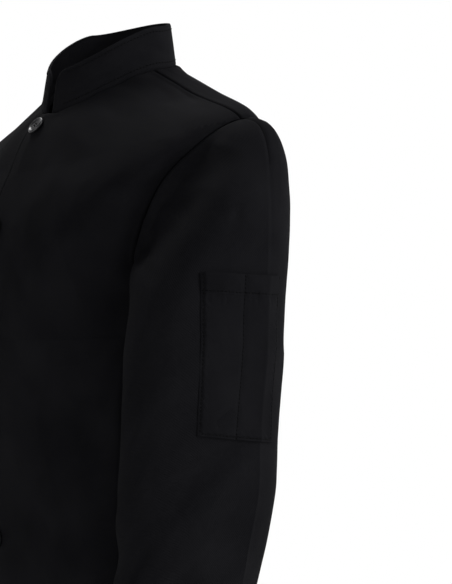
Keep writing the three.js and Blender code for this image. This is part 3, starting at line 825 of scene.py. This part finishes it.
def smooth_step(x, low, high):
    """A soft change from 0 at low to 1 at high."""
    t = np.clip((x - low) / (high - low), 0, 1)
    return t * t * (3 - 2 * t)


def signed_folds(folds):
    """Sleeve folds with those behind the crease given as minus percentages."""
    shift = np.where((folds["fromAcross"] + folds["toAcross"]) / 2 > 50, 100, 0)
    return folds | {"fromAcross": folds["fromAcross"] - shift, "toAcross": folds["toAcross"] - shift}


def sleeve_panel(edges, creases, seed):
    """Grid of the left sleeve with its places. The pressed crease is a narrow ridge that
    falls away evenly to both sides."""
    seam, outs = armhole_edge(*edges)
    share, v = sleeve_places(seam)
    plain = sleeve_surface(seam, outs, share, v)
    normal = grid_normals(plain)
    across = np.repeat(share[None, :] * 100, len(v), 0)
    down = np.repeat(v[:, None], len(share), 1)
    z = plain[..., 2]
    along = lengths_along(turned(plain)).T
    along -= along[3:4]
    height = fold_height(signed_folds(SLEEVE_FOLDS), across, z, SLEEVE_PERCENT)
    height += fold_height(signed_folds(creases), across, z, SLEEVE_PERCENT)
    height += unevenness(across * SLEEVE_PERCENT, z, seed, 0.9)
    height *= smooth_step(along, 0, 14)
    aside = np.abs(across * SLEEVE_PERCENT - PRESS_AHEAD)
    press = 2.0 * np.exp(-aside / 13) + 0.9 * np.exp(-aside / 2.6)
    height += press * smooth_step(down, 0.3, 1)
    sewn = 0.3 * np.exp(-(((along - 5) / 3) ** 2))
    rng = np.random.default_rng(seed)
    ease = sum(np.sin(across * SLEEVE_PERCENT * 2 * np.pi / step + rng.uniform(0, 6))
               for step in (11, 17, 27))
    height += (sewn + 0.26 * ease * np.exp(-along / 14) * (1 - np.exp(-along / 3))) * (along >= 0)
    side = np.minimum(share - share[0], share[-1] - share)[None, :] * SLEEVE_GIRTH
    height -= 1.0 * np.exp(-((side / 1.6) ** 2))
    height += hem_relief(along[-1:] - along)
    return plain + normal * height[..., None], normal, share


def make_sleeve(side, name, edges):
    """A sleeve with its cuff stitching. Returns its grid and places for the pocket."""
    creases = LEFT_SLEEVE_CREASES if side > 0 else RIGHT_SLEEVE_CREASES
    grid, normal, share = sleeve_panel(edges, creases, 21 if side > 0 else 22)
    shown, inward = (grid, normal) if side > 0 else (mirror(grid), mirror(normal))
    normals = grid_normals(shown)
    piece = cloth_mesh(name, shown, CLOTH, CLOTH_BLACK, inward)
    runs = [line_at(turned(shown), turned(normals), HEM, from_end=True)]
    sewing = stitch_row(name + "_stitches", runs, THREAD_BLACK_AND_PAINTED_SHADE, 7)
    dressed(piece, name)
    return grid, share


def make_pocket(sleeve, share):
    """The pen pocket: read from the sleeve's finished surface and lifted off it. It is full
    between its seams, open at the top, and a row of stitches divides it."""
    width = (POCKET_AHEAD - POCKET_BEHIND) * SLEEVE_GIRTH
    edge = [0, 0.5, 1, 1.6, 2.2, 2.8, 3.4, 4.1, 4.8, 5.5, 6.5, 8]
    across = close_to_ends(width, edge, "low high", 70)
    hem = [0, 0.6, 1.3, 3, 6, 10, 14, 16, 17, 17.6, 18.2, 19, 20, 22]
    down = np.concatenate([hem, np.linspace(22, POCKET_HEIGHT - 8, 92)[1:-1],
                           POCKET_HEIGHT - np.array(edge)[::-1]])
    places = POCKET_BEHIND + across / SLEEVE_GIRTH
    index = np.interp(places, share, np.arange(len(share)))
    low = np.minimum(index.astype(int), len(share) - 2)
    part = (index - low)[None, :, None]
    strips = sleeve[:, low] * (1 - part) + sleeve[:, low + 1] * part
    ahead, lower = (across / width)[None, :], (down / POCKET_HEIGHT)[:, None]
    heights = (POCKET_TOP - down)[:, None] + POCKET_TILT * ahead - POCKET_DROP * (1 - ahead) * lower
    grid = np.array([[np.interp(-heights[:, j], -strips[:, j, 2], strips[:, j, i]) for i in range(3)]
                     for j in range(len(places))]).transpose(2, 0, 1)
    shift = POCKET_STRAIGHTEN * np.exp(-((down / 26) ** 2))
    from_place = [across - move * across / width for move in shift]
    grid = np.stack([np.stack([np.interp(at, across, row[:, i]) for i in range(3)], -1)
                     for at, row in zip(from_place, grid)])
    normal = grid_normals(grid)
    x, y = np.meshgrid(across, down)
    near = np.minimum(np.minimum(x, width - x), POCKET_HEIGHT - y)
    lift = 1.5 - 0.3 * np.exp(-((near / 0.7) ** 2)) + 0.25 * np.exp(-(((near - 4.6) / 1.8) ** 2))
    ripple = np.sin((x + y) * 2 * np.pi / 6.1) + np.sin((x + y) * 2 * np.pi / 8.7 + 1.3)
    lift += 0.12 * ripple * np.exp(-(((near - 5) / 3.2) ** 2))
    hem_ripple = np.sin(x * 2 * np.pi / 5.2) + np.sin(x * 2 * np.pi / 7.9 + 0.7)
    lift += 0.14 * hem_ripple * np.exp(-(((y - POCKET_HEM - 4) / 4) ** 2))
    lift += stitch_dent(near, POCKET_STITCH)
    lift += 0.5 * np.exp(-(((POCKET_HEIGHT - y) / 3.5) ** 2)) - 0.6 * np.exp(-(((width - x) / 3) ** 2))
    full = np.sin(np.pi * np.clip(x / POCKET_DIVISION, 0, 1)) + 1.5 * np.sin(
        np.pi * np.clip((x - POCKET_DIVISION) / (width - POCKET_DIVISION), 0, 1))
    lift += 0.7 * full * np.sin(np.pi * np.clip((y + 30) / (POCKET_HEIGHT + 30), 0, 1))
    lift += 1.2 * full * np.exp(-((y / 16) ** 2))
    lift -= 0.6 * np.exp(-(((x - POCKET_DIVISION) / 2.4) ** 2)) * np.clip(y / 3, 0, 1)
    lift += 0.6 / (1 + np.exp((y - POCKET_HEM) / 0.5)) + stitch_dent(y, POCKET_HEM_STITCH)
    lift += unevenness(x, y, 51, 0.5) * np.clip(near / 12, 0, 1)
    lift += fold_height(POCKET_FOLDS, x, -y, 1)
    shown = grid + normal * lift[..., None]
    normals = grid_normals(shown)
    piece = cloth_mesh("sleeve_pocket", shown, POCKET_CLOTH, CLOTH_BLACK, normal)
    inner = down <= POCKET_HEIGHT - POCKET_STITCH
    middle = (across >= POCKET_STITCH) & (across <= width - POCKET_STITCH)
    runs = [line_at(shown[inner], normals[inner], POCKET_STITCH),
            line_at(shown[inner], normals[inner], POCKET_STITCH, True),
            line_at(turned(shown[:, middle]), turned(normals[:, middle]), POCKET_STITCH, True)]
    runs.append(line_at(turned(shown), turned(normals), POCKET_HEM_STITCH))
    at = np.interp(POCKET_DIVISION, across, np.arange(len(across)))
    column = int(at)
    runs.append((shown[:, column] + (shown[:, column + 1] - shown[:, column]) * (at - column),
                 normals[:, column]))
    sewing = stitch_row("sleeve_pocket_stitches", runs, THREAD_BLACK_AND_PAINTED_SHADE, 8)
    dressed(piece, "sleeve_pocket")


def make_collar():
    """The band collar: it stands on the neck seam and leans in, with rounded front corners
    and a row of stitches near each long edge."""
    start = angle_at_width(np.array([float(COLLAR_FRONT_GAP)]), np.array([float(NECK)]))[0]
    angles = np.linspace(start, 2 * np.pi - start, 700)
    fine = body_point(angles, np.full(700, float(NECK)))
    lengths = lengths_along(fine)
    whole = lengths[-1]
    corner = COLLAR_CORNER * (1 - np.cos(np.linspace(0, np.pi / 2, 13)))
    places = np.concatenate([corner[:-1], np.linspace(COLLAR_CORNER, whole - COLLAR_CORNER, 170),
                             whole - corner[:-1][::-1]])
    base = point_along(fine, lengths, places)
    to_end = np.minimum(np.minimum(places, whole - places), COLLAR_CORNER)
    drop = COLLAR_CORNER - np.sqrt(COLLAR_CORNER**2 - (COLLAR_CORNER - to_end) ** 2)
    inward = np.stack([-base[:, 0], BODY_RINGS["sideY"][NECK] - base[:, 1], 0 * places], -1)
    inward = unit(inward)
    lean = math.radians(COLLAR_LEAN)
    level = np.concatenate([np.linspace(0, 0.06, 4), np.linspace(0.1, 0.9, 16), np.linspace(0.94, 1, 4)])
    rise = level[:, None] * (COLLAR_HEIGHT - drop)[None, :]
    rise = np.concatenate([np.full((1, len(places)), -7.0), np.full((1, len(places)), -2.5), rise - 0.6])
    set_in = np.where(rise < -1, 2.2, 0.6)
    grid = base + inward * (rise * math.sin(lean) + set_in)[..., None]
    grid[..., 2] += rise * math.cos(lean)
    normal = grid_normals(grid)
    near = np.minimum(np.minimum(np.abs(rise + 0.6), COLLAR_HEIGHT - drop - rise - 0.6),
                      np.minimum(places, whole - places))
    height = -0.6 * np.exp(-((near / 1.2) ** 2)) + stitch_dent(near, COLLAR_STITCH)
    height += unevenness(places[None, :] + 0 * rise, rise, 61, 0.35)
    height += fold_height(COLLAR_FOLDS, places[None, :] + 0 * rise, rise, 1)
    shown = grid + normal * height[..., None]
    normals = grid_normals(shown)
    piece = cloth_mesh("collar", shown, COLLAR_CLOTH, CLOTH_BLACK, normal)
    middle = (places > COLLAR_CORNER) & (places < whole - COLLAR_CORNER)
    runs = [line_at(turned(shown[2:, middle]), turned(normals[2:, middle]), COLLAR_STITCH, from_top)
            for from_top in (False, True)]
    sewing = stitch_row("collar_stitches", runs, THREAD_BLACK_AND_PAINTED_SHADE, 9)
    dressed(piece, "collar")


def make_button(name, w, turn):
    """A round button turned by an angle: a polar grid whose height has a raised rim, a dish
    and four holes, with thread over the holes."""
    rings = np.concatenate([np.linspace(0.02, 0.5, 26), np.linspace(0.53, 1, 14)])
    around = np.linspace(0, 2 * np.pi, BUTTON_PLACES, endpoint=False) + turn
    r, a = np.meshgrid(rings, around, indexing="ij")
    rim = [BUTTON_FACE, BUTTON_FACE, 0.84, 1, 0.96, 0.74]
    top = np.interp(r, [0, 0.6, 0.72, 0.84, 0.93, 1], rim) * BUTTON_THICK
    flat_x, flat_y = r * BUTTON_RADIUS * np.cos(a), r * BUTTON_RADIUS * np.sin(a)
    holes = [(BUTTON_HOLE_OUT * math.cos(turn + quarter), BUTTON_HOLE_OUT * math.sin(turn + quarter))
             for quarter in np.arange(4) * np.pi / 2]
    for x, y in holes:
        top -= 1.5 * np.exp(-((((flat_x - x) ** 2 + (flat_y - y) ** 2) / 0.95) ** 3))
    sides = [(1.0, 0.35), (0.9, 0.05), (0.7, 0.0)]
    flat_x = np.concatenate([flat_x] + [np.cos(around)[None] * out * BUTTON_RADIUS for out, _ in sides])
    flat_y = np.concatenate([flat_y] + [np.sin(around)[None] * out * BUTTON_RADIUS for out, _ in sides])
    levels = np.concatenate([top] + [np.full((1, BUTTON_PLACES), high * BUTTON_THICK) for _, high in sides])
    centre = body_point(np.array(0.0), np.array(w))
    above, below = (body_point(np.array(0.0), np.array(w + step)) for step in (0.05, -0.05))
    up = unit(above - below)
    side = np.array([1.0, 0, 0])
    out = np.cross(side, up)
    seat = centre + out * 0.35
    at = lambda x, y, h: seat + x[..., None] * side + y[..., None] * up + h[..., None] * out
    grid = at(flat_x, flat_y, levels)
    rows = len(grid)
    index = np.arange(rows * BUTTON_PLACES).reshape(rows, BUTTON_PLACES)
    after = np.roll(index, -1, axis=1)
    faces = np.stack([index[:-1], index[1:], after[1:], after[:-1]], -1).reshape(-1, 4)
    middles = at(np.zeros(2), np.zeros(2), np.array([BUTTON_FACE * BUTTON_THICK, 0.0]))
    points = np.concatenate([grid.reshape(-1, 3), middles])
    pole = rows * BUTTON_PLACES
    under = pole + 1
    first = np.arange(0, BUTTON_PLACES, 2)
    third = (first + 2) % BUTTON_PLACES
    fan = np.stack([0 * first + pole, index[0, first], index[0, first + 1], index[0, third]], -1)
    base = np.stack([0 * first + under, index[-1, third], index[-1, first + 1], index[-1, first]], -1)
    piece = joined_mesh(name, points, np.concatenate([faces, fan, base]), RESIN_BLACK)
    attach(piece, "root")
    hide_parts(name)
    runs = []
    for x, y in ((0, 1), (2, 3)):
        ends = np.array([holes[x], holes[y]])
        height = np.full(2, BUTTON_FACE * BUTTON_THICK + 0.15)
        line = at(ends[:, 0], ends[:, 1], height)
        for shift in (-0.28, 0.28):
            runs.append((line + unit(np.cross(out, line[1] - line[0])) * shift, np.stack([out, out])))
    return runs


left_front_edge = make_front(1, "front_left")
right_front_edge = make_front(-1, "front_right")
left_back_edge, right_back_edge = make_back()
left_sleeve, left_shares = make_sleeve(1, "sleeve_left", (left_front_edge, left_back_edge))
make_sleeve(-1, "sleeve_right", (right_front_edge, right_back_edge))
make_pocket(left_sleeve, left_shares)
make_collar()

# Buttons down the centre front at even heights
fine_rings = np.linspace(0, NECK, 2000)
ring_heights = body_point(np.zeros(2000), fine_rings)[:, 2]
high, low = np.interp([BUTTON_TOP_RING, BUTTON_LOW_RING], fine_rings, ring_heights)
thread_runs = []
for number in range(BUTTON_COUNT):
    height = high + (low - high) * number / (BUTTON_COUNT - 1)
    thread_runs += make_button(f"button_{number + 1}", float(np.interp(height, ring_heights, fine_rings)),
                               0.5 + 1.3 * number)
stitch_row("button_threads", thread_runs, THREAD_BLACK_AND_PAINTED_SHADE, 10, 3.6, 3.6, 0.3)


def pale_paint(name, code, rough):
    """Matt emulsion on a smooth board: an even pale grey with faint cloudy roller marks."""
    material, tree, shader = new_material(name)
    place = add(tree, "ShaderNodeTexCoord").outputs["Object"]
    cloud = add(tree, "ShaderNodeTexNoise", {"Scale": 1.5, "Detail": 4.0}, {"Vector": place})
    colour = two_colours(tree, cloud.outputs["Fac"], code, "#f4f4f2")
    tree.links.new(colour, shader.inputs["Base Color"])
    shader.inputs["Roughness"].default_value = rough
    return material


def add_floor():
    """A plain pale floor below the hem."""
    points = np.array([[-1, -1, -0.4], [1, -1, -0.4], [1, 1, -0.4], [-1, 1, -0.4]]) * 2000
    paint = pale_paint("pale_floor_paint", "#ecebe8", 0.7)
    floor = joined_mesh("floor", points, np.array([[0, 1, 2, 3]]), paint, False)


def add_area(name, place, aim, size, power):
    """A soft square light at a place, turned to a point, both in metres."""
    light = bpy.data.lights.new(name, "AREA")
    light.size = size
    light.energy = power
    lamp = bpy.data.objects.new(name, light)
    lamp.location = place
    lamp.rotation_mode = "QUATERNION"
    lamp.rotation_quaternion = (Vector(aim) - Vector(place)).to_track_quat("-Z", "Y")
    bpy.context.collection.objects.link(lamp)


def add_camera():
    """Looks at the left shoulder from in front and slightly below, from 3 metres. The focal
    length gives 0.93 mm to a pixel at the neck."""
    turn, rise = math.radians(CAMERA_TURN), math.radians(CAMERA_RISE)
    back = Vector((math.sin(turn) * math.cos(rise), -math.cos(turn) * math.cos(rise), math.sin(rise)))
    right = Vector((math.cos(turn), math.sin(turn), 0))
    up = back.cross(right)
    camera = bpy.data.cameras.new("camera")
    camera.sensor_width = 36
    camera.lens = camera.sensor_width * FOCAL_LENGTH / PICTURE_HEIGHT
    eye = bpy.data.objects.new("camera", camera)
    eye.location = Vector(CAMERA_AIM) + back * CAMERA_DISTANCE
    eye.rotation_mode = "QUATERNION"
    look = -back * FOCAL_LENGTH + right * AIM_LEFT - up * AIM_UP
    eye.rotation_quaternion = look.to_track_quat("-Z", "Y")
    bpy.context.collection.objects.link(eye)
    bpy.context.scene.camera = eye


def add_world():
    """A white studio: bright to 15 degrees above the horizon, dim from 30 degrees up, and a
    little dimmer on the side that lies to the left of the camera."""
    world = bpy.data.worlds.new("studio")
    world.use_nodes = True
    tree = world.node_tree
    background = tree.nodes["Background"]
    background.inputs["Color"].default_value = (1, 1, 1, 1)
    place = add(tree, "ShaderNodeTexCoord").outputs["Generated"]
    rise = add(tree, "ShaderNodeSeparateXYZ", links={0: place}).outputs["Z"]
    sky = add(tree, "ShaderNodeMapRange", {"From Min": 0.26, "From Max": 0.5, "To Min": 1.0, "To Max": 0.12},
              {"Value": rise})
    leftward = add(tree, "ShaderNodeVectorMath", {"operation": "DOT_PRODUCT", 1: (-0.5, -0.866, 0)},
                   {0: place})
    side = add(tree, "ShaderNodeMapRange", {"From Min": 0.12, "From Max": 0.5, "To Min": 1.0, "To Max": 0.65},
               {"Value": leftward.outputs["Value"]})
    light = add(tree, "ShaderNodeMath", {"operation": "MULTIPLY"},
                {0: sky.outputs["Result"], 1: side.outputs["Result"]})
    tree.links.new(light.outputs["Value"], background.inputs["Strength"])
    bpy.context.scene.world = world


add_world()
bpy.context.scene.view_settings.view_transform = "Standard"
add_floor()
for name, place, power in (("high_left", (-1.4, 0.1, 2.0), 48), ("top_back", (0.2, 1.0, 2.2), 36),
                           ("side", (1.8, 1.3, 1.0), 56), ("low_side", (2.0, 1.3, -0.1), 18),
                           ("front", (0.8, -2.4, 0.3), 24)):
    add_area(name, place, LAMP_AIM, 1.0, power)
add_camera()
